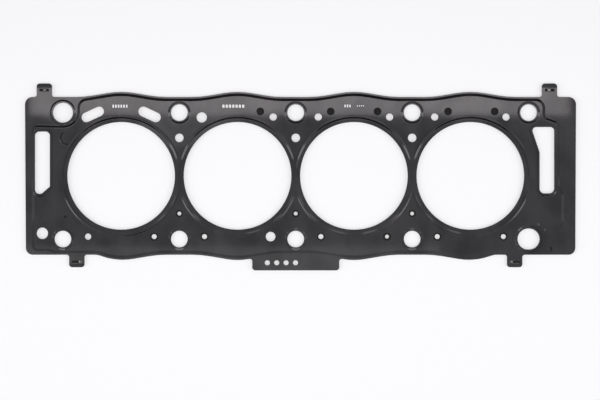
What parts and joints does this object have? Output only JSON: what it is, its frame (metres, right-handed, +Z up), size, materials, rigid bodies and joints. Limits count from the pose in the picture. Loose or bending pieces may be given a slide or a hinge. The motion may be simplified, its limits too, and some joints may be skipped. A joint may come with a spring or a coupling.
{
  "type": "cylinder head gasket",
  "caption": "Layered steel cylinder head gasket for an in-line four: pressed bead layers on a core, with bores, bolt and coolant holes, end slots and clinched tabs.",
  "frame": {"origin": "on the block face, at the centre of the head bolt pattern, midway between cylinders 2 and 3", "axes": "+X along the engine towards the end whose slot has a slanted side, +Y across the engine towards the side with the oblong slots, +Z up from the block to the head"},
  "size_m": [0.4402, 0.1493, 0.0018],
  "materials": {
    "coated_steel": "black rubber coating on spring steel, satin",
    "core_steel": "plain rolled steel, dull",
    "stopper_steel": "plain rolled steel, welded on"
  },
  "bodies": {
    "root": {"top_bead_layer": "coated_steel", "core_layer": "core_steel", "bottom_bead_layer": "coated_steel", "stopper_ring_1": "stopper_steel", "stopper_ring_2": "stopper_steel", "stopper_ring_3": "stopper_steel", "stopper_ring_4": "stopper_steel"}
  },
  "joints": []
}
